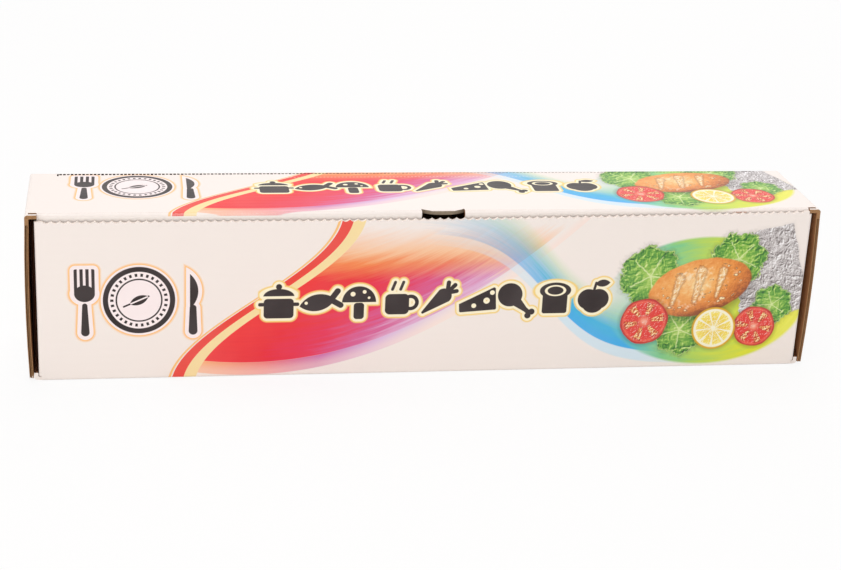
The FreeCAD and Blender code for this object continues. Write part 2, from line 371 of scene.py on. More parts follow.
streak = streaks(rise, across, 0.55)
warm = shades(side / RED_FIELD_WIDTH + streak * 0.42, (0.0, ink(240, 42, 44)), (0.2, ink(234, 30, 46)),
              (0.4, ink(230, 36, 84)), (0.56, ink(216, 90, 150)), (0.72, ink(226, 176, 214)),
              (0.86, WHITE_STOCK))
for glow, reach, start, softness in ((ink(252, 176, 92), 10.0, 40.0, 12.0), (WHITE_STOCK, 8.0, 47.0, 15.0)):
    fade = worked("MULTIPLY_ADD", up + streak * reach, 1 / softness, -start / softness, held=True)
    warm = overprint(warm, glow, fade)
colour = overprint(WHITE_STOCK, warm, inside(common(-rise, -side), 0.2))
hem = shades(side / RED_FIELD_WIDTH, (0.0, ink(250, 178, 120)), (0.26, ink(240, 130, 130)),
             (0.46, ink(206, 110, 176)), (0.64, ink(222, 188, 226)), (0.8, WHITE_STOCK))
hem_cover = inside(common(abs(rise + 2.6) - 2.6, -side), 0.2)
colour = overprint(colour, hem, hem_cover)
hem_shade = worked("MULTIPLY_ADD", rise, -0.3, -0.1, held=True) * hem_cover
colour = overprint(colour, ink(255, 226, 214), hem_shade * 0.45)
colour = overprint(colour, CREAM, inside(abs(side + 2.4) - 2.4))
colour = overprint(colour, ink(236, 62, 48), inside(abs(side + 7.0) - 2.2))
colour = overprint(colour, ink(250, 196, 120), inside(abs(side + 10.2) - 0.5))

fall = up - rising(across, 46.0, 24.0, 62.0, 8.0)
cool_streak = streaks(fall, across, 0.6)
cool = shades(fall / 26.0 + 0.1 + cool_streak * 0.5, (0.0, ink(60, 176, 242)), (0.3, ink(56, 184, 228)),
              (0.5, ink(84, 196, 190)), (0.72, ink(150, 214, 150)), (1.0, ink(214, 238, 190)))
cool_share = worked("MULTIPLY_ADD", across + cool_streak * 30.0, 1 / 55.0, 0.05, held=True)
cool_share = cool_share * worked("MULTIPLY_ADD", across + cool_streak * 12.0, -1 / 26.0, 4.3, held=True)
colour = overprint(colour, cool, inside(-fall - 2.0, 0.5) * inside(fall - 12.0, 14.0) * cool_share)
colour = overprint(colour, ink(204, 234, 250), inside(common(fall + 2.0, -fall - 6.5), 0.6) * cool_share * 0.75)
meadow = oval(spot, 112.0, 29.0, 42.0, 27.5)
meadow_streak = streaks(meadow, across + up, 0.4)
meadow_ink = shades(worked("MULTIPLY_ADD", across, 1 / 90.0, -0.72) + meadow_streak * 0.45,
                    (0.0, ink(110, 206, 200)), (0.28, ink(110, 204, 150)), (0.5, ink(180, 218, 90)),
                    (0.75, ink(224, 230, 44)), (1.0, ink(240, 240, 90)))
meadow_share = worked("MULTIPLY_ADD", across, 1 / 30.0, -2.2, held=True)
colour = overprint(colour, meadow_ink, inside(meadow, 1.0) * meadow_share)

# Plate between a fork and a knife.
EMBLEM_MIDDLE = -114.0
EMBLEM_RISE = 33.0
plate = placed("DISTANCE", spot, (EMBLEM_MIDDLE, EMBLEM_RISE, 0.0))
fork_place = about(spot, EMBLEM_MIDDLE - 20.5, EMBLEM_RISE)
fork_x = axes_of(fork_place)[0]
tines = common(worked("PINGPONG", fork_x - 1.1, 1.1) - 0.62, bar(fork_place, 0.0, 8.0, 3.9, 5.0, 0.6))
fork = joined(stroke(fork_place, 0.0, -13.0, 0.0, -2.0, 1.6, 1.0), oval(fork_place, 0.0, 3.0, 3.9, 3.4), tines)
knife_place = about(spot, EMBLEM_MIDDLE + 20.5, EMBLEM_RISE)
knife_x, knife_y = axes_of(knife_place)[:2]
blade = common(disc(knife_place, -7.6, 3.4, 9.6), -1.2 - knife_x, knife_y - 12.4)
knife = joined(stroke(knife_place, 0.0, -13.0, 0.0, -3.5, 1.7, 1.3), blade)
sprig_place = about(spot, EMBLEM_MIDDLE, EMBLEM_RISE, 24.0)
sprig = joined(common(disc(sprig_place, 0.0, -3.4, 5.2), disc(sprig_place, 0.0, 3.4, 5.2)),
               stroke(sprig_place, -6.4, 0.0, 4.0, 0.0, 0.35))
vein = stroke(sprig_place, -3.4, 0.0, 3.4, 0.0, 0.28)
emblem_outline = joined(plate - 14.2, fork - 1.2, knife - 1.2)
colour = overprint(colour, ink(255, 196, 120), inside(emblem_outline - 1.0, 0.9))
colour = overprint(colour, ink(252, 240, 240), inside(emblem_outline - 0.3))
plate_x, plate_y = axes_of(about(spot, EMBLEM_MIDDLE, EMBLEM_RISE))[:2]
beads = worked("COSINE", worked("ARCTAN2", plate_y, plate_x) * 30.0)
emblem = joined(common(plate - 13.7, 11.7 - plate), common(plate - 8.9, 8.3 - plate), fork, knife,
                common(sprig, -vein), common(abs(plate - 10.3) - 0.62, 0.15 - beads))
colour = overprint(colour, DARK_BROWN, inside(emblem))

# Row of kitchen pictures in dark brown, each with a pale yellow rim.
FIRST_PICTURE = -60.5
PICTURE_PITCH = 15.7
PICTURE_RISE = 31.0
PICTURE_SIZE = 1.08
PICTURE_TILTS = (0.0, 12.0, 0.0, 0.0, 0.0, 4.0, 0.0, 0.0, 0.0)
picture_places = [about(spot, FIRST_PICTURE + PICTURE_PITCH * step, PICTURE_RISE, tilt, PICTURE_SIZE)
                  for step, tilt in enumerate(PICTURE_TILTS)]
at = picture_places[0]
pot = joined(bar(at, 0.0, -2.2, 5.4, 3.8, 1.4), bar(at, 0.0, -0.6, 7.4, 0.7, 0.6),
             common(oval(at, 0.0, 2.4, 5.6, 3.0), bar(at, 0.0, 5.6, 6.0, 3.0, 0.2)), disc(at, 0.0, 6.2, 1.1))
at = picture_places[1]
fish = joined(common(disc(at, -0.6, -5.2, 8.4), disc(at, -0.6, 5.2, 8.4), -disc(at, -4.6, 0.7, 0.6)),
              stroke(at, 4.4, 0.0, 7.4, 2.8, 1.1), stroke(at, 4.4, 0.0, 7.4, -2.8, 1.1))
at = picture_places[2]
mushroom = joined(common(disc(at, 0.0, -0.2, 6.2), bar(at, 0.0, 5.0, 7.0, 5.2, 0.3),
                         -disc(at, -2.3, 3.0, 0.9), -disc(at, 1.9, 3.8, 0.7), -disc(at, 3.6, 1.5, 0.5)),
                  bar(at, 0.0, -3.6, 1.9, 3.2, 1.2))
at = picture_places[3]
cup = joined(bar(at, -0.6, -1.2, 4.4, 4.0, 1.8), abs(disc(at, 4.3, -0.6, 2.4)) - 0.7,
             stroke(at, -2.5, 4.6, -1.5, 7.4, 0.55), stroke(at, 0.5, 4.6, 1.5, 7.4, 0.55))
at = picture_places[4]
carrot = joined(stroke(at, -5.6, -4.6, 2.0, 1.8, 0.5, 2.9), stroke(at, 3.2, 3.0, 6.6, 3.6, 0.8),
                stroke(at, 3.2, 3.0, 6.0, 6.0, 0.8), stroke(at, 3.2, 3.0, 3.6, 7.0, 0.8))
at = picture_places[5]
at_x, at_y = axes_of(at)[:2]
cheese = common(bar(at, 0.0, 0.0, 6.9, 4.4, 0.6), worked("MULTIPLY_ADD", at_x, -0.42, at_y - 1.8) * 0.92,
                -disc(at, 3.4, -0.6, 1.2), -disc(at, -1.4, -2.2, 0.9), -disc(at, 5.6, 2.4, 0.9))
at = picture_places[6]
drumstick = joined(disc(at, -2.4, 1.8, 4.6), stroke(at, -0.9, 0.0, 3.2, -3.8, 2.2, 1.0),
                   stroke(at, 2.2, -2.8, 5.0, -5.4, 0.9), disc(at, 6.0, -5.0, 1.2), disc(at, 4.6, -6.5, 1.2))
at = picture_places[7]
toast = joined(bar(at, 0.0, -1.4, 4.7, 4.4, 0.9), oval(at, 0.0, 3.2, 5.9, 3.2))
toast = common(toast, 0.28 - abs(toast + 1.3))
at = picture_places[8]
apple = joined(disc(at, -1.9, -0.4, 4.0), disc(at, 1.9, -0.4, 4.0), disc(at, 0.0, -1.6, 4.3),
               stroke(at, 0.0, 2.8, 0.7, 6.0, 0.5),
               common(disc(at, 3.0, 8.1, 3.6), disc(at, 3.4, 3.9, 3.4)))
pictures = joined(pot, fish, mushroom, cup, carrot, cheese, drumstick, toast, apple)
colour = overprint(colour, ink(248, 214, 120), inside(pictures - 1.5, 0.5))
colour = overprint(colour, ink(255, 246, 214), inside(pictures - 0.95, 0.3))
colour = overprint(colour, DARK_BROWN, inside(pictures))

# Fresh food on the green field, lit from the upper left: foil, leaves, a loaf, tomato and lemon slices.
fine = cloudiness(spot, 0.55, 4.0, 0.6)
coarse = cloudiness(spot, 0.16, 3.0, 0.6)


def relief(scale, reach, turbulence, creases=True):
    """Light and shade on a crumpled surface: how far its height falls towards the lower right."""
    heights = []
    for shift in (0.0, reach):
        height = cloudiness(placed("ADD", spot, (shift, -shift, 0.0)), scale, 4.0, 0.6, turbulence)
        heights.append(abs(height - 0.5) if creases else height)
    return heights[0] - heights[1]


def slice_of(x, y, radius, parts, tilt):
    """Distance from a slice's middle in radii, a wave with a crest at each of its parts, and the bearing."""
    local = about(spot, x, y, tilt, radius)
    local_x, local_y = axes_of(local)[:2]
    bearing = worked("ARCTAN2", local_y, local_x)
    return placed("LENGTH", local), worked("COSINE", bearing * float(parts)), bearing


def cast_shadow(under, distance, reach, depth):
    return overprint(under, ink(40, 40, 14), inside(distance, reach) * depth)


# Sheet of crumpled foil, with a torn edge at its left.
foil_wave = cloudiness(placed("MULTIPLY", spot, (0.6, 1.0, 1.0)), 0.12, 3.0)
foil_turned = about(spot, 134.0, 40.0, 16.0)
foil_x, foil_y = axes_of(foil_turned)[:2]
foil_edge = common(-17.0 - foil_x + foil_wave * 12.0, foil_x - 15.5 - foil_wave * 3.0,
                   -24.0 - foil_y + foil_wave * 8.0, foil_y - 15.0 - foil_wave * 7.0)
broad = relief(0.09, 1.2, 0.6)
sharp = relief(0.3, 0.45, 1.4)
tiny = relief(0.9, 0.2, 0.8)
flecks = worked("MULTIPLY_ADD", cloudiness(spot, 0.7, 5.0, 0.75, 2.0), -7.0, 2.75, held=True)
foil_ink = shades(broad * 1.9 + sharp * 2.9 + tiny * 2.0 + 0.5 - flecks * 0.3, (0.02, ink(78, 72, 70)),
                  (0.24, ink(136, 130, 130)), (0.46, ink(192, 187, 187)), (0.64, ink(216, 212, 212)),
                  (0.88, ink(252, 252, 254)))
colour = cast_shadow(colour, foil_edge + 0.6, 4.0, 0.22)
colour = overprint(colour, foil_ink, inside(foil_edge, 0.4))

# Ruffled leaves of lettuce with pale ribs.
ruffle = relief(0.26, 0.5, 1.6, creases=False)
for leaf_x, leaf_y, leaf_size, leaf_tilt in ((88.0, 40.0, 13.0, 150.0), (124.0, 47.0, 11.5, 60.0),
                                             (102.0, 16.5, 11.0, -80.0), (140.0, 27.0, 8.5, -20.0)):
    leaf_reach, leaf_wave, bearing = slice_of(leaf_x, leaf_y, leaf_size, 7, leaf_tilt)
    frill = worked("SINE", bearing * 19.0 + coarse * 30.0)
    leaf_edge = (leaf_reach - 0.82 - leaf_wave * 0.06 - frill * 0.035 - coarse * 0.32) * leaf_size
    leaf_tone = leaf_reach * 0.36 + fine * 0.32 + ruffle * 1.9 * (leaf_reach + 0.15)
    leaf_ink = shades(leaf_tone + 0.02, (0.08, ink(222, 236, 160)), (0.24, ink(160, 204, 84)),
                      (0.44, ink(92, 162, 52)), (0.64, ink(48, 122, 38)), (0.86, ink(20, 66, 24)))
    colour = cast_shadow(colour, leaf_edge - 0.6, 2.6, 0.3)
    colour = overprint(colour, leaf_ink, inside(leaf_edge, 0.35))
    rib = abs(worked("SINE", bearing * 2.5 + 0.6 + (fine - 0.5) * 0.9)) * leaf_reach
    rib_cover = inside(common(rib - 0.05, leaf_reach - 0.72) * leaf_size, 0.5)
    colour = overprint(colour, ink(226, 240, 176), rib_cover * 0.7)
    colour = overprint(colour, ink(226, 244, 160), inside(abs(leaf_edge + 0.35) - 0.2, 0.4) * 0.55)

# Loaf with three cuts in its crust, dusted with flour and seeds.
loaf_place = about(spot, 109.0, 35.0, 14.0)
loaf_x, loaf_y = axes_of(loaf_place)[:2]
loaf = oval(loaf_place, 0.0, 0.0, 21.5, 11.8) + (coarse - 0.5) * 1.2
crust_relief = relief(0.5, 0.3, 0.6, creases=False)
crust_tone = worked("MULTIPLY_ADD", loaf, -1 / 17.0, loaf_y * 0.022 - loaf_x * 0.006 + 0.12)
crust = shades(crust_tone + (coarse - 0.5) * 0.55 + (fine - 0.5) * 0.4 - crust_relief * 0.5 + 0.12,
               (0.0, ink(146, 72, 22)), (0.18, ink(206, 116, 42)), (0.42, ink(234, 146, 60)),
               (0.66, ink(246, 176, 92)), (0.92, ink(253, 218, 156)))
colour = cast_shadow(colour, oval(loaf_place, 0.9, -1.8, 20.5, 12.6), 3.4, 0.5)
colour = overprint(colour, crust, inside(loaf, 0.35))
flour = worked("MULTIPLY_ADD", fine + coarse, 5.0, -5.4, held=True)
colour = overprint(colour, ink(255, 240, 214), flour * inside(loaf + 2.4, 2.0) * 0.5)
cuts = joined(stroke(loaf_place, -12.5, -4.2, -7.4, 5.6, 0.5, 1.5),
              stroke(loaf_place, -3.4, -5.6, 1.9, 6.6, 0.6, 1.8),
              stroke(loaf_place, 6.0, -5.4, 10.6, 4.6, 0.5, 1.5)) + (fine - 0.5) * 2.2
colour = overprint(colour, ink(136, 66, 24), inside(cuts - 0.5, 0.8) * 0.55)
cut_ink = shades(fine + crust_relief * 2.0, (0.3, ink(226, 164, 96)), (0.5, ink(248, 210, 150)),
                 (0.7, ink(255, 238, 206)))
colour = overprint(colour, cut_ink, inside(cuts, 0.7))
seed = Field.sheet.nodes.new("ShaderNodeTexVoronoi")
seed.feature = "F1"
seed.inputs["Scale"].default_value = 0.5
feed(seed, "Vector", placed("MULTIPLY", loaf_place, (0.75, 1.3, 1.0)))
seed_shape = common((Field(seed.outputs["Distance"]) - 0.24) * 2.0, cuts * -1.0 + 0.8, loaf + 2.0,
                    (0.52 - coarse) * 30.0)
colour = overprint(colour, ink(120, 62, 24), inside(seed_shape - 0.22, 0.3) * 0.8)
colour = overprint(colour, ink(255, 234, 184), inside(seed_shape, 0.25))

# Slices of tomato with wet seed chambers, and one of lemon.
wet = relief(0.8, 0.25, 1.0, creases=False)
for slice_x, slice_y, slice_size, slice_tilt in ((87.0, 20.5, 10.0, 12.0), (133.5, 17.5, 9.0, 50.0)):
    tomato_reach, tomato_wave, bearing = slice_of(slice_x, slice_y, slice_size, 6, slice_tilt)
    tomato_edge = (tomato_reach - 0.98 - tomato_wave * 0.015 - (coarse - 0.5) * 0.1) * slice_size
    flesh = shades(tomato_reach + (fine - 0.5) * 0.12, (0.0, ink(252, 196, 170)), (0.16, ink(240, 110, 84)),
                   (0.3, ink(228, 52, 40)), (0.76, ink(230, 46, 36)), (0.86, ink(242, 98, 74)),
                   (0.95, ink(190, 18, 20)))
    chamber = common(0.3 - tomato_reach, tomato_reach - 0.8, 0.22 - tomato_wave * 0.6) + (fine - 0.5) * 0.22
    gel = shades(fine + wet * 2.4, (0.32, ink(176, 22, 14)), (0.46, ink(226, 92, 40)),
                 (0.58, ink(246, 180, 90)), (0.7, ink(255, 232, 170)))
    colour = cast_shadow(colour, (tomato_reach - 1.05) * slice_size, 2.2, 0.45)
    colour = overprint(colour, flesh, inside(tomato_edge, 0.3))
    colour = overprint(colour, ink(168, 16, 14), inside((chamber - 0.04) * slice_size, 0.7) * 0.7)
    colour = overprint(colour, gel, inside(chamber * slice_size, 0.5))
    colour = overprint(colour, ink(255, 250, 244), worked("MULTIPLY_ADD", wet, 14.0, -1.15, held=True)
                       * inside(tomato_edge + 1.0, 0.8) * 0.5)
LEMON_SIZE = 9.2
lemon_reach, lemon_wave, lemon_bearing = slice_of(116.5, 17.0, LEMON_SIZE, 9, 8.0)
threads = worked("SINE", lemon_bearing * 54.0 + fine * 14.0)
pulp = shades(lemon_reach * 0.8 + threads * 0.07 + wet * 1.6, (0.0, ink(255, 250, 214)),
              (0.2, ink(240, 206, 60)), (0.45, ink(246, 220, 84)), (0.66, ink(252, 236, 130)))
lemon_parts = common(lemon_reach - 0.8, 0.1 - lemon_reach, -0.84 - lemon_wave) + (fine - 0.5) * 0.1
peel = shades(lemon_reach * 4.0 - 3.4 + fine * 0.4, (0.2, ink(250, 214, 50)), (0.7, ink(214, 160, 20)))
colour = cast_shadow(colour, (lemon_reach - 1.05) * LEMON_SIZE, 2.2, 0.42)
colour = overprint(colour, peel, inside((lemon_reach - 1.0) * LEMON_SIZE, 0.3))
colour = overprint(colour, ink(253, 249, 222), inside((lemon_reach - 0.91) * LEMON_SIZE, 0.3))
colour = overprint(colour, pulp, inside(lemon_parts * LEMON_SIZE, 0.45))
colour = overprint(colour, ink(255, 255, 250), worked("MULTIPLY_ADD", wet, 22.0, -1.3, held=True)
                   * inside((lemon_reach - 0.84) * LEMON_SIZE, 0.8) * 0.6)

feed(artwork_out, "Colour", colour)


def started(name, roughness, specular):
    """A new material and its shader. The arithmetic that follows draws in its nodes."""
    material = bpy.data.materials.new(name)
    material.use_nodes = True
    Field.sheet = material.node_tree
    surface = Field.sheet.nodes["Principled BSDF"]
    surface.inputs["Roughness"].default_value = roughness
    surface.inputs["Specular IOR Level"].default_value = specular
    return material, surface


def raised(surface, height):
    """Give a surface its small relief, from a height in millimetres."""
    bump = Field.sheet.nodes.new("ShaderNodeBump")
    bump.inputs["Strength"].default_value = 1.0
    bump.inputs["Distance"].default_value = MM
    feed(bump, "Height", height)
    feed(surface, "Normal", Field(bump.outputs["Normal"]))


def shaded(colour, share):
    """An ink made darker or lighter by a share of its light."""
    return tuple(min(1.0, channel * share) for channel in colour[:3]) + (1.0,)


def paper_material(name, base, roughness, printed=None, waves_along="z", follows=None, torn=None):
    """Board liner: print or bare paper, with the flutes showing faintly through it and a fine grain."""
    material, surface = started(name, roughness, 0.2)
    if follows:
        followed = Field.sheet.nodes.new("ShaderNodeAttribute")
        followed.attribute_name = follows
        own_place = Field(followed.outputs["Vector"])
    else:
        own_place = Field(Field.sheet.nodes.new("ShaderNodeTexCoord").outputs["Object"])
    place = placed("MULTIPLY", own_place, (1000.0, 1000.0, 1000.0))
    x, y, z = axes_of(place)
    grain = cloudiness(place, 1.6, 4.0, 0.65)
    patches = cloudiness(place, 0.045, 2.0, 0.5)
    is_white = min(base[:3]) > 0.7
    colour = base
    if printed:
        print_of_sheet = Field.sheet.nodes.new("ShaderNodeGroup")
        print_of_sheet.node_tree = artwork
        feed(print_of_sheet, "Place",
             point(-x if printed == "back" else x, y + 25.0 if printed == "top" else z))
        colour = Field(print_of_sheet.outputs["Colour"])
    if is_white:
        toned = overprint(colour, shaded(ink(250, 236, 238), 0.9), patches * 0.10)
    else:
        fibres = cloudiness(placed("MULTIPLY", place, (0.3, 1.0, 1.0)), 2.6, 5.0, 0.8)
        darker = shaded(base, 0.6)
        toned = overprint(shaded(base, 1.22), darker, worked("MULTIPLY_ADD", fibres, 2.3, -0.72, held=True))
        toned = overprint(toned, darker, worked("MULTIPLY_ADD", patches, 1.0, -0.4, held=True) * 0.5)
    if printed:
        long_fold, end_fold = (abs(y + 23.6), 155.5) if printed == "top" else (z - 0.2, 152.3)
        near_fold = worked("MINIMUM", long_fold, worked("MULTIPLY_ADD", abs(x), -1.0, end_fold))
        rubbed = worked("MULTIPLY_ADD", near_fold, -1.9, (grain + patches) * 3.0 - 2.35, held=True)
        toned = overprint(toned, ink(252, 247, 242), rubbed * 0.25)
    if printed == "top":
        dash = worked("PINGPONG", x, 0.75) - 0.34
        dashes = inside(common(dash, abs(y - 19.0) - 0.2, abs(x + 10.0) - 68.0), 0.15)
        toned = overprint(toned, ink(255, 240, 230), dashes * 0.6)
    if torn:
        torn_x, torn_z, torn_length = torn
        rag = common(abs(x - torn_x) - torn_length / 2, abs(z - torn_z) - 0.35) + (grain - 0.5) * 1.2
        toned = overprint(toned, ink(226, 150, 104), inside(rag, 0.3) * 0.9)
    feed(surface, "Base Color", toned)
    ripple = worked("SINE", {"y": y, "z": z}[waves_along] * (2 * math.pi / FLUTE_PITCH))
    ripple_height, grain_height = (0.010, 0.012) if is_white else (0.022, 0.035)
    raised(surface, ripple * ripple_height + grain * grain_height + patches * 0.25)
    return material


KRAFT = ink(162, 112, 73)
front_print = paper_material("front_print", WHITE_STOCK, 0.5, printed="front")
back_print = paper_material("back_print", WHITE_STOCK, 0.5, printed="back")
white_liner = paper_material("white_liner", WHITE_STOCK, 0.5, waves_along="y")
kraft_liner = paper_material("kraft_liner", KRAFT, 0.85)
# The tray's fluted middle is a far darker copy of the lid's fluted paper: painted shade for where it shows in
# the gaps at the carton's ends.
fluted_paper_painted_shade = paper_material("fluted_paper_painted_shade", ink(74, 42, 24), 0.9)
cut_edge = paper_material("cut_edge", ink(238, 228, 219), 0.9)
# Near-black brown for the inner flaps' front and back cut edges: painted shade for the deep gap between the end
# flaps, far darker than the board's own edge.
edge_painted_shade = paper_material("edge_painted_shade", ink(46, 20, 12), 0.9)


def only(piece):
    """Select one piece and nothing else."""
    bpy.ops.object.select_all(action="DESELECT")
    piece.select_set(True)
    bpy.context.view_layer.objects.active = piece


def outward(piece):
    """Turn all faces of a closed piece outwards."""
    only(piece)
    bpy.ops.object.mode_set(mode="EDIT")
    bpy.ops.mesh.select_all(action="SELECT")
    bpy.ops.mesh.normals_make_consistent(inside=False)
    bpy.ops.object.mode_set(mode="OBJECT")


def merged_copy(node, name):
    """A carton piece that starts from its CAD solid, merged into one closed mesh of flat faces."""
    piece = bpy.data.objects.new(name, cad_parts[node].data.copy())
    scene.collection.objects.link(piece)
    piece.data.materials.clear()
    only(piece)
    bpy.ops.mesh.customdata_custom_splitnormals_clear()
    bpy.ops.object.mode_set(mode="EDIT")
    bpy.ops.mesh.select_all(action="SELECT")
    bpy.ops.mesh.remove_doubles(threshold=0.000002)
    bpy.ops.mesh.dissolve_limited(angle_limit=math.radians(0.4))
    bpy.ops.object.mode_set(mode="OBJECT")
    return piece


def liner_faces(piece, materials, chosen):
    """Give each face its liner: chosen(centre, normal) returns one of the materials."""
    for material in materials:
        piece.data.materials.append(material)
    for face in piece.data.polygons:
        face.material_index = materials.index(chosen(face.center / MM, face.normal))


def slab(name, low, high, cuts=0):
    """A flat cutting block between two corners, in millimetres."""
    middle = (Vector(low) + Vector(high)) / 2 * MM
    size = (Vector(high) - Vector(low)) * MM
    bpy.ops.object.select_all(action="DESELECT")
    bpy.ops.mesh.primitive_cube_add(size=1.0, location=middle, scale=size)
    block = bpy.context.active_object
    block.name = name
    bpy.ops.object.transform_apply(location=True, rotation=True, scale=True)
    if cuts:
        bpy.ops.object.mode_set(mode="EDIT")
        bpy.ops.mesh.select_all(action="SELECT")
        bpy.ops.mesh.subdivide(number_cuts=cuts)
        bpy.ops.object.mode_set(mode="OBJECT")
    return block


def combined(pieces):
    """Join pieces into the first of them."""
    bpy.ops.object.select_all(action="DESELECT")
    for piece in pieces:
        piece.select_set(True)
    bpy.context.view_layer.objects.active = pieces[0]
    bpy.ops.object.join()
    return pieces[0]


def carve(piece, cutter, operation="DIFFERENCE"):
    """Cut a piece with a cutter, or keep only what both hold, and remove the cutter."""
    only(piece)
    step = piece.modifiers.new(operation.lower(), "BOOLEAN")
    step.operation = operation
    step.solver = "EXACT"
    step.object = cutter
    bpy.ops.object.modifier_apply(modifier=step.name)
    bpy.data.objects.remove(cutter)


def thickened(sheet, thickness):
    """Give an open sheet its thickness in millimetres, half to each side."""
    step = sheet.modifiers.new("thickness", "SOLIDIFY")
    step.thickness = thickness * MM
    step.offset = 0.0
    only(sheet)
    bpy.ops.object.modifier_apply(modifier=step.name)
    outward(sheet)


def fluted_sheet(name, run, place, rows=1):
    """A sheet of the fluted paper: waves along its run, placed by place(along, across, rise)."""
    columns = max(8, round(run / FLUTE_PITCH * 8))
    bpy.ops.object.select_all(action="DESELECT")
    bpy.ops.mesh.primitive_grid_add(x_subdivisions=columns, y_subdivisions=rows, size=1.0)
    sheet = bpy.context.active_object
    sheet.name = name
    for vertex in sheet.data.vertices:
        along = (vertex.co.x + 0.5) * run
        rise = 0.35 * math.sin(2 * math.pi * along / FLUTE_PITCH)
        vertex.co = Vector(place(along, vertex.co.y + 0.5, rise)) * MM
    thickened(sheet, 0.2)
    return sheet


def flap_core(side, outside):
    """Between which two places along the carton an end flap's fluted middle lies."""
    return sorted((side * (outside - BOARD + LINER), side * (outside - LINER)))


def tray_liner(centre, normal):
    """The paper that a face of the tray shows, by its place and the way that it faces."""
    if centre.y < FRONT + BOARD + 0.01 and centre.z > 60.0 and normal.z > 0.3:
        return cut_edge
    # The inner flaps' front and back cut edges take the painted shade colour.
    if abs(centre.x) > TRAY_END and abs(normal.y) > 0.7 and centre.z > BOARD:
        return edge_painted_shade
    if centre.y < FRONT + FOLD_ZONE and normal.y < -0.05:
        return front_print if normal.y < -0.7 else white_liner
    if centre.y > BACK - FOLD_ZONE and normal.y > 0.05:
        return back_print if normal.y > 0.7 else white_liner
    if centre.z < FOLD_ZONE and normal.z < -0.05:
        return white_liner
    if abs(centre.x) > TRAY_END - FOLD_ZONE and normal.x * centre.x > 0.05 * abs(centre.x):
        return white_liner
    return kraft_liner


tray = merged_copy("carton_body", "tray")
tray_solid = merged_copy("carton_body", "tray_solid")
tray_liners = [front_print, white_liner, back_print, kraft_liner, cut_edge, edge_painted_shade]
liner_faces(tray, tray_liners, tray_liner)
tray_slabs = []
tray_flutes = []
for side in (-1, 1):
    left, right = flap_core(side, TRAY_END)
    for face in (-1, 1):
        near, far = sorted((face * 1.0, face * 23.2))
        tray_slabs.append(slab("dust_flap_core", (left, near, 0.5), (right, far, 66.0)))
        tray_flutes.append(fluted_sheet(
            "dust_flap_flutes", 64.0,
            lambda a, b, r, side=side, face=face: (side * (TRAY_END - BOARD / 2) + r,
                                                   face * (1.0 + 22.1 * b), 1.0 + a)))
    left, right = flap_core(side, INNER_FLAP_END)
    tray_slabs.append(slab("inner_flap_core", (left, -27.0, 3.0), (right, 27.0, 70.0)))
    tray_flutes.append(fluted_sheet(
        "inner_flap_flutes", 53.0,
        lambda a, b, r, side=side: (side * (INNER_FLAP_END - BOARD / 2) + r, -26.5 + a, 3.1 + 66.0 * b)))
tray_slabs.append(slab("crease_room", (-152.0, 20.0, 64.0), (152.0, 28.0, 70.0)))
tray_cutter = combined(tray_slabs)
liner_faces(tray_cutter, tray_liners, lambda centre, normal: kraft_liner)
carve(tray, tray_cutter)
tray_medium = combined(tray_flutes)
tray_medium.name = "tray_medium"
carve(tray_medium, tray_solid, "INTERSECT")
# The tray's flutes take the darker copy, with painted shade.
tray_medium.data.materials.clear()
tray_medium.data.materials.append(fluted_paper_painted_shade)
for piece in (tray, tray_medium):
    only(piece)
    bpy.ops.object.shade_smooth_by_angle(angle=SMOOTH_BELOW)
    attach(piece, "carton")
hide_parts("carton_body")

# Lid of the carton. The same sheet goes on past the crease at the back: the top panel, an outer flap that
# hangs over each end, and a tuck flap with a thumb notch that goes down behind the front panel.
LID_TOP = 67.5
LID_END = 156.0
TUCK_FOLD = -23.95
TUCK_DEPTH = 15.0
TUCK_LEAN = math.asin(TUCK_DEPTH / (2 * (BACK - TUCK_FOLD))) + math.radians(0.6)
NOTCH_MIDDLE = 3.0
OUTER_FLAP_BOW = 0.7
OUTER_FLAP_ROOT = 3.0
OUTER_FLAP_LIFT = 1.0
top_print = paper_material("top_print", WHITE_STOCK, 0.5, printed="top", waves_along="y")
# The tuck flap's outer face is a lighter copy of the white liner: painted light that offsets the shade in its
# recess behind the front panel. The torn patch shows the kraft under it.
tuck_liner_painted_light = paper_material("tuck_liner_painted_light", ink(255, 250, 245), 0.6, torn=(122.8, 66.3, 5.5))
raw_edge = paper_material("raw_edge", ink(168, 128, 90), 0.9)
tongue_edge = paper_material("tongue_edge", ink(142, 128, 110), 0.9)
lid_fluted_paper = paper_material("lid_fluted_paper", ink(138, 104, 70), 0.9)


def lid_liner(centre, normal):
    """The paper that a face of the lid shows, by its place and the way that it faces."""
    end = abs(centre.x)
    over_notch = abs(centre.x - NOTCH_MIDDLE) < 8.6 and centre.z > 65.9
    if over_notch and normal.y < -0.3 and centre.z < LID_TOP - 0.2:
        return tongue_edge
    if end > LID_END - FOLD_ZONE and normal.x * centre.x > 0.05 * end:
        return top_print if normal.z > 0.7 else white_liner
    if normal.z > 0.05 and centre.z > LID_TOP - FOLD_ZONE and not (normal.z < 0.7 and end > 151.6):
        return top_print
    if normal.y > 0.05 and centre.y > BACK - FOLD_ZONE and centre.z > LID_TOP - FOLD_ZONE:
        return white_liner
    if abs(normal.y) > 0.7 and end > 151.4:
        return raw_edge
    tuck_face = TUCK_FOLD + (LID_TOP - centre.z) * math.tan(TUCK_LEAN)
    on_face = normal.y < -0.5 and abs(centre.y - tuck_face) < 0.35
    # The tuck flap's face below the fold takes the lighter liner with painted light.
    if on_face and end < 150.0 and centre.z < 66.4 and not over_notch:
        return tuck_liner_painted_light
    if normal.y < -0.05 and normal.z > 0.05 and centre.y < TUCK_FOLD + 1.3:
        return top_print
    return kraft_liner


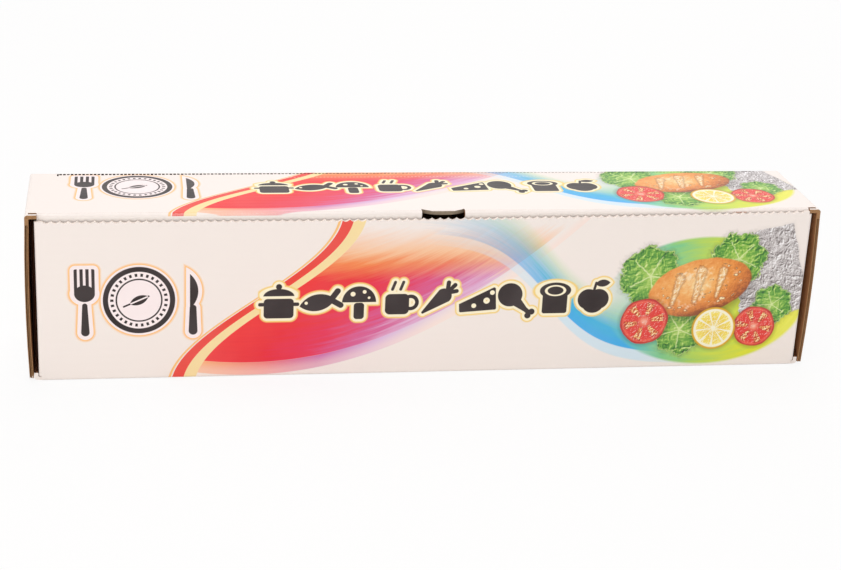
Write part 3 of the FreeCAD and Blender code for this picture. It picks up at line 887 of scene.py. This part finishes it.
def bowed(piece):
    """Follow the outer flap's slight bow between its fold and its lower edge."""
    top = LID_TOP - OUTER_FLAP_ROOT
    half = (top - OUTER_FLAP_LIFT) / 2
    middle = (top + OUTER_FLAP_LIFT) / 2
    for vertex in piece.data.vertices:
        share = 1 - ((vertex.co.z / MM - middle) / half) ** 2
        vertex.co.x += math.copysign(OUTER_FLAP_BOW * max(-0.1, share) * MM, vertex.co.x)
    return piece


def on_tuck(along, inward, down):
    """A place on the leaning tuck flap, measured from its fold."""
    lean_in = Vector((0.0, math.cos(TUCK_LEAN), math.sin(TUCK_LEAN)))
    lean_down = Vector((0.0, math.sin(TUCK_LEAN), -math.cos(TUCK_LEAN)))
    return Vector((along, TUCK_FOLD, LID_TOP)) + lean_in * inward + lean_down * down


lid = merged_copy("carton_lid", "lid")
lid_solid = merged_copy("carton_lid", "lid_solid")
lid_liners = [top_print, white_liner, kraft_liner, tuck_liner_painted_light, raw_edge, tongue_edge]
liner_faces(lid, lid_liners, lid_liner)
tuck_core = slab("tuck_core", (-155.0, LINER, 3.0), (155.0, BOARD - LINER, 18.0))
for vertex in tuck_core.data.vertices:
    vertex.co = on_tuck(*(vertex.co / MM)) * MM
outward(tuck_core)
lid_slabs = [tuck_core]
lid_flutes = [fluted_sheet("tuck_flutes", 14.4,
                           lambda a, b, r: on_tuck(-154.0 + 308.0 * b, BOARD / 2 + r, 3.2 + a))]
for side in (-1, 1):
    left, right = flap_core(side, LID_END)
    lid_slabs.append(bowed(slab("outer_flap_core", (left, -28.0, -1.0), (right, 28.0, 63.5), cuts=12)))
    lid_flutes.append(bowed(fluted_sheet(
        "outer_flap_flutes", 53.0,
        lambda a, b, r, side=side: (side * (LID_END - BOARD / 2) + r, -26.5 + a, 63.3 * b), rows=12)))
lid_slabs.append(slab("crease_room", (-152.0, 21.0, 60.0), (152.0, 28.0, 70.0)))
lid_cutter = combined(lid_slabs)
liner_faces(lid_cutter, lid_liners, lambda centre, normal: kraft_liner)
carve(lid, lid_cutter)
lid_medium = combined(lid_flutes)
lid_medium.name = "lid_medium"
carve(lid_medium, lid_solid, "INTERSECT")
lid_medium.data.materials.clear()
lid_medium.data.materials.append(lid_fluted_paper)
for piece in (lid, lid_medium):
    only(piece)
    bpy.ops.object.shade_smooth_by_angle(angle=SMOOTH_BELOW)
    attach(piece, "lid")
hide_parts("carton_lid")

# Crease between the back panel and the top panel. The die presses the board down and nicks the outer liner
# in short slits, so the sheet folds sharply there; it stays one sheet from the tray to the lid.
CREASE_REACH = 152.0
BEND_RADIUS = 1.2
BEND_RISE = 66.3
crease_path = [((BACK, 64.0), (BACK - BOARD, 64.0)), ((BACK, 64.8), (BACK - BOARD, 64.6)),
               ((BACK, 65.6), (BACK - BOARD, 65.1)), ((BACK, BEND_RISE), (BACK - BOARD - 0.05, 65.5))]
for step in range(1, 8):
    angle = math.radians(90 * step / 8)
    bead = 0.14 * math.sin(2 * angle)
    outer = (BACK - BEND_RADIUS + BEND_RADIUS * math.cos(angle), BEND_RISE + BEND_RADIUS * math.sin(angle))
    inner = (BACK - BOARD - 0.05 - 0.5 * step / 8 - bead, 65.5 + 0.5 * step / 8 - bead)
    crease_path.append((outer, inner))
crease_path += [((BACK - BEND_RADIUS, LID_TOP), (BACK - 2.05, LID_TOP - BOARD)),
                ((BACK - 1.9, LID_TOP), (BACK - 2.35, LID_TOP - BOARD)),
                ((21.0, LID_TOP), (21.0, LID_TOP - BOARD))]
bpy.ops.object.select_all(action="DESELECT")
bpy.ops.mesh.primitive_grid_add(x_subdivisions=len(crease_path) - 1, y_subdivisions=1, size=1.0)
crease = bpy.context.active_object
crease.name = "crease"
for vertex in crease.data.vertices:
    knot = round((vertex.co.x + 0.5) * (len(crease_path) - 1))
    y, z = crease_path[knot][0 if vertex.co.y < 0 else 1]
    vertex.co = Vector((-CREASE_REACH, y, z)) * MM
only(crease)
bpy.ops.object.mode_set(mode="EDIT")
bpy.ops.mesh.select_all(action="SELECT")
bpy.ops.mesh.extrude_region_move(TRANSFORM_OT_translate={"value": (2 * CREASE_REACH * MM, 0.0, 0.0)})
bpy.ops.object.mode_set(mode="OBJECT")
outward(crease)

REST_PLACE = "rest_place"
crease_top_print = paper_material("crease_top_print", WHITE_STOCK, 0.5, "top", "y", follows=REST_PLACE)
crease_back_print = paper_material("crease_back_print", WHITE_STOCK, 0.5, "back", follows=REST_PLACE)
crease_kraft = paper_material("crease_kraft", KRAFT, 0.85, follows=REST_PLACE)
# Near-black brown for the slits' cut walls: painted shade for the narrow, deep cuts, darker than the board
# inside them.
slit_painted_shade = paper_material("slit_painted_shade", ink(52, 32, 20), 0.9, follows=REST_PLACE)
crease_liners = [crease_top_print, crease_back_print, crease_kraft, slit_painted_shade]


def crease_liner(centre, normal):
    on_back = normal.y > 0.02 and centre.y > BACK - 1.3
    on_top = normal.z > 0.5 and centre.z > LID_TOP - 0.4
    if abs(normal.x) > 0.5 or not (on_back or on_top):
        return crease_kraft
    return crease_top_print if normal.z > normal.y else crease_back_print


liner_faces(crease, crease_liners, crease_liner)
SLIT_START = -144.5
SLIT_PITCH = 1.5
SLIT_COUNT = 193
SLIT_LENGTH = 1.05
SLIT_FRONT = 22.7
SLIT_BACK = 24.3
SLIT_LINE = 23.9
SLIT_FLOOR = 66.6
ABOVE_LID = 68.0
slits = slab("slits", (SLIT_START, SLIT_FRONT, SLIT_FLOOR), (SLIT_START + SLIT_LENGTH, SLIT_BACK, ABOVE_LID))
row = slits.modifiers.new("row", "ARRAY")
row.use_relative_offset = False
row.use_constant_offset = True
row.constant_offset_displace = (SLIT_PITCH * MM, 0.0, 0.0)
row.count = SLIT_COUNT
only(slits)
bpy.ops.object.modifier_apply(modifier=row.name)
for vertex in slits.data.vertices:
    along = vertex.co.x / MM
    narrowed = 1.0 - 0.75 * min(1.0, max(0.0, (along + 110.0) / 120.0))
    number = math.floor((along - SLIT_START + 0.2) / SLIT_PITCH)
    uneven = 1.0 + 0.14 * math.sin(number * 2.4) + 0.08 * math.sin(number * 5.3)
    vertex.co.y = SLIT_LINE * MM + (vertex.co.y - SLIT_LINE * MM) * narrowed * uneven
slit_hook = slab("slit_hook", (SLIT_START - 0.85, 21.6, SLIT_FLOOR), (SLIT_START - 0.2, SLIT_BACK, ABOVE_LID))
slits = combined([slits, slit_hook])
# The slits' cut walls take the painted shade colour.
liner_faces(slits, crease_liners, lambda centre, normal: slit_painted_shade)
carve(crease, slits)
rest_place = crease.data.attributes.new(REST_PLACE, "FLOAT_VECTOR", "POINT")
for vertex in crease.data.vertices:
    rest_place.data[vertex.index].vector = vertex.co
only(crease)
bpy.ops.object.shade_smooth_by_angle(angle=SMOOTH_BELOW)
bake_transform(crease)

# Foil on its core. Bright rolled aluminium foil, 300 mm wide, wound tight in hundreds of turns. The rolling
# leaves fine lines round the roll, and the free end of the last turn has sprung up a little.
ROLL_AXIS = 24.55
ROLL_RADIUS = 23.0
TURN_SPACING = 0.5


def round_roll():
    """The place, along the roll, the bearing round its axis and the distance from it, in millimetres."""
    place = placed("MULTIPLY_ADD", Field(Field.sheet.nodes.new("ShaderNodeTexCoord").outputs["Object"]),
                   (1000.0, 1000.0, 1000.0), (0.0, 0.0, -ROLL_AXIS))
    along, back, high = axes_of(place)
    return place, along, worked("ARCTAN2", high, back), worked("SQRT", back * back + high * high)


foil_metal, foil_surface = started("foil_metal", 0.2, 0.5)
foil_surface.inputs["Metallic"].default_value = 1.0
foil_along, foil_bearing, foil_radius = round_roll()[1:]
mill_lines = cloudiness(point(foil_along * 2.4, foil_bearing * 0.5, foil_radius * 3.0), 1.0, 5.0, 0.7)
wraps = cloudiness(point(foil_along * 0.02, foil_bearing * 2.6, foil_radius * 2.2), 1.0, 3.0, 0.6, 0.4)
puckers = abs(cloudiness(point(foil_along * 0.09, foil_bearing * 5.0), 1.0, 4.0, 0.62, 1.1) - 0.5)
feed(foil_surface, "Base Color", shades(
    mill_lines * 0.5 + wraps * 0.5, (0.3, (0.74, 0.75, 0.77, 1.0)), (0.5, (0.87, 0.88, 0.89, 1.0)),
    (0.7, (0.93, 0.935, 0.94, 1.0))))
feed(foil_surface, "Roughness", worked("MULTIPLY_ADD", mill_lines, 0.34, 0.06))
turn_edges = worked("SINE", foil_radius * (2 * math.pi / TURN_SPACING) + wraps * 9.0)
raised(foil_surface, mill_lines * 0.012 + wraps * 0.25 - puckers * 0.5 + turn_edges * 0.02)
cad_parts["foil_roll"].material_slots[0].material = foil_metal

FOIL_WIDTH = 299.8
END_START = 70.0
END_TURN = 54.0
FOIL_GAUGE = 0.05
bpy.ops.object.select_all(action="DESELECT")
bpy.ops.mesh.primitive_grid_add(x_subdivisions=220, y_subdivisions=30, size=1.0)
foil_end = bpy.context.active_object
foil_end.name = "foil_end"
for vertex in foil_end.data.vertices:
    x = FOIL_WIDTH * vertex.co.x
    share = vertex.co.y + 0.5
    sprung = max(0.0, (share - 0.42) / 0.58) ** 1.7
    ripple = (0.9 + 0.45 * math.sin(x / 21.0 + 0.6) + 0.22 * math.sin(x / 7.3 + 2.0 * share)
              + 0.1 * math.sin(x / 3.1))
    cut = 0.7 * math.sin(x / 37.0) + 0.25 * math.sin(x / 11.0 + 1.0)
    angle = math.radians(END_START + (END_TURN + cut) * share)
    radius = ROLL_RADIUS + 0.15 + 0.2 * min(1.0, share * 3.0) + 1.15 * sprung * ripple
    vertex.co = Vector((x, radius * math.cos(angle), ROLL_AXIS + radius * math.sin(angle))) * MM
thickened(foil_end, FOIL_GAUGE)
bpy.ops.object.shade_smooth_by_angle(angle=math.radians(40))
foil_end.data.materials.append(foil_metal)
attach(foil_end, "carton")

# Core. A stiff tube of grey-brown paper, wound in a spiral from glued strips, so a seam runs round it.
SPIRAL_PITCH = 62.0
PLY = 0.5
core_paper, core_surface = started("core_paper", 0.9, 0.15)
core_place, core_along, core_bearing, core_radius = round_roll()
spiral = core_along / SPIRAL_PITCH + core_bearing / (2 * math.pi)
seam = inside(worked("PINGPONG", spiral, 0.5) * SPIRAL_PITCH - 0.5, 0.5)
pulp_fibres = cloudiness(placed("MULTIPLY", core_place, (0.5, 1.4, 1.4)), 1.8, 4.0, 0.75)
plies = worked("SINE", core_radius * (2 * math.pi / PLY))
core_tint = shades(pulp_fibres * 0.8 + plies * 0.06 + 0.08, (0.3, ink(128, 106, 82)), (0.5, ink(168, 143, 112)),
                   (0.72, ink(196, 172, 140)))
feed(core_surface, "Base Color", overprint(core_tint, ink(96, 76, 56), seam * 0.7))
raised(core_surface, pulp_fibres * 0.05 + plies * 0.02 + seam * -0.15)
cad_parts["core_tube"].material_slots[0].material = core_paper
